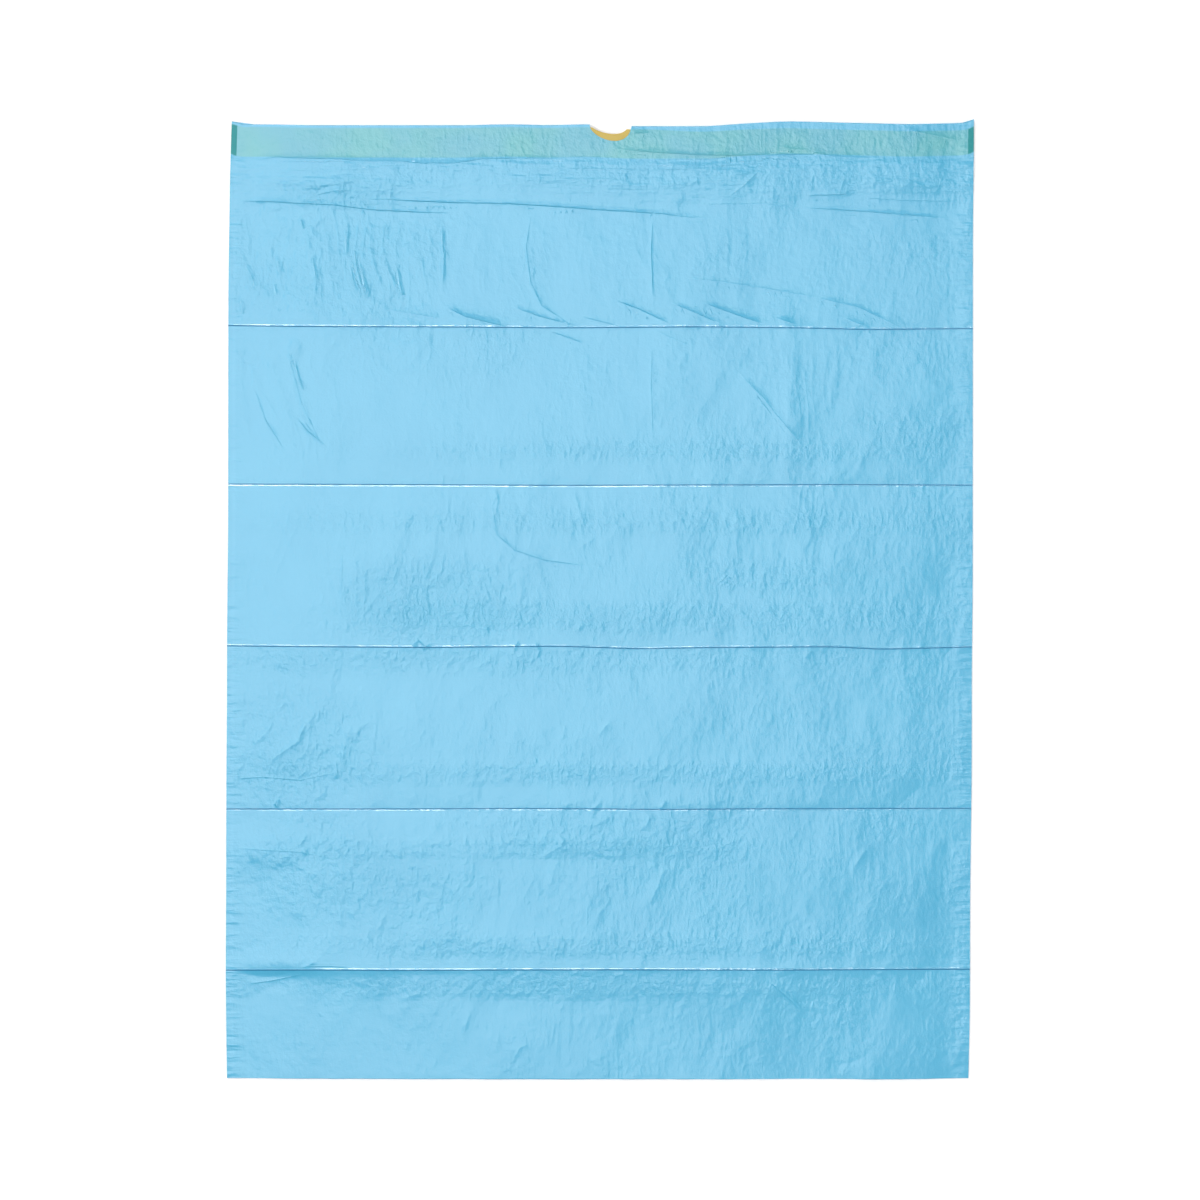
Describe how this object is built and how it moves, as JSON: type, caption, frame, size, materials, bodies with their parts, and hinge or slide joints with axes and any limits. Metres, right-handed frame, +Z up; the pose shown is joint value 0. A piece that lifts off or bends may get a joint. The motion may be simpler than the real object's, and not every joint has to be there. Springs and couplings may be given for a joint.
{
  "type": "drawstring trash can liner",
  "caption": "Flat drawstring trash can liner of thin blue film, folded at the bottom, welded down both sides, with a yellow drawtape in each hem at the mouth.",
  "frame": {"origin": "under the middle of the liner's outline, on the flat outer face of the back ply, which lies on the floor", "axes": "+X across the mouth, +Y from the bottom fold to the mouth, +Z up from the floor, through the front ply"},
  "size_m": [0.61, 0.784, 0.0034],
  "materials": {
    "film": "thin blown polyethylene film, satin with glossy creases",
    "drawtape": "yellow polyethylene tape, satin"
  },
  "bodies": {
    "root": {"liner_film": "film", "front_drawtape": "drawtape", "back_drawtape": "drawtape"}
  },
  "joints": []
}
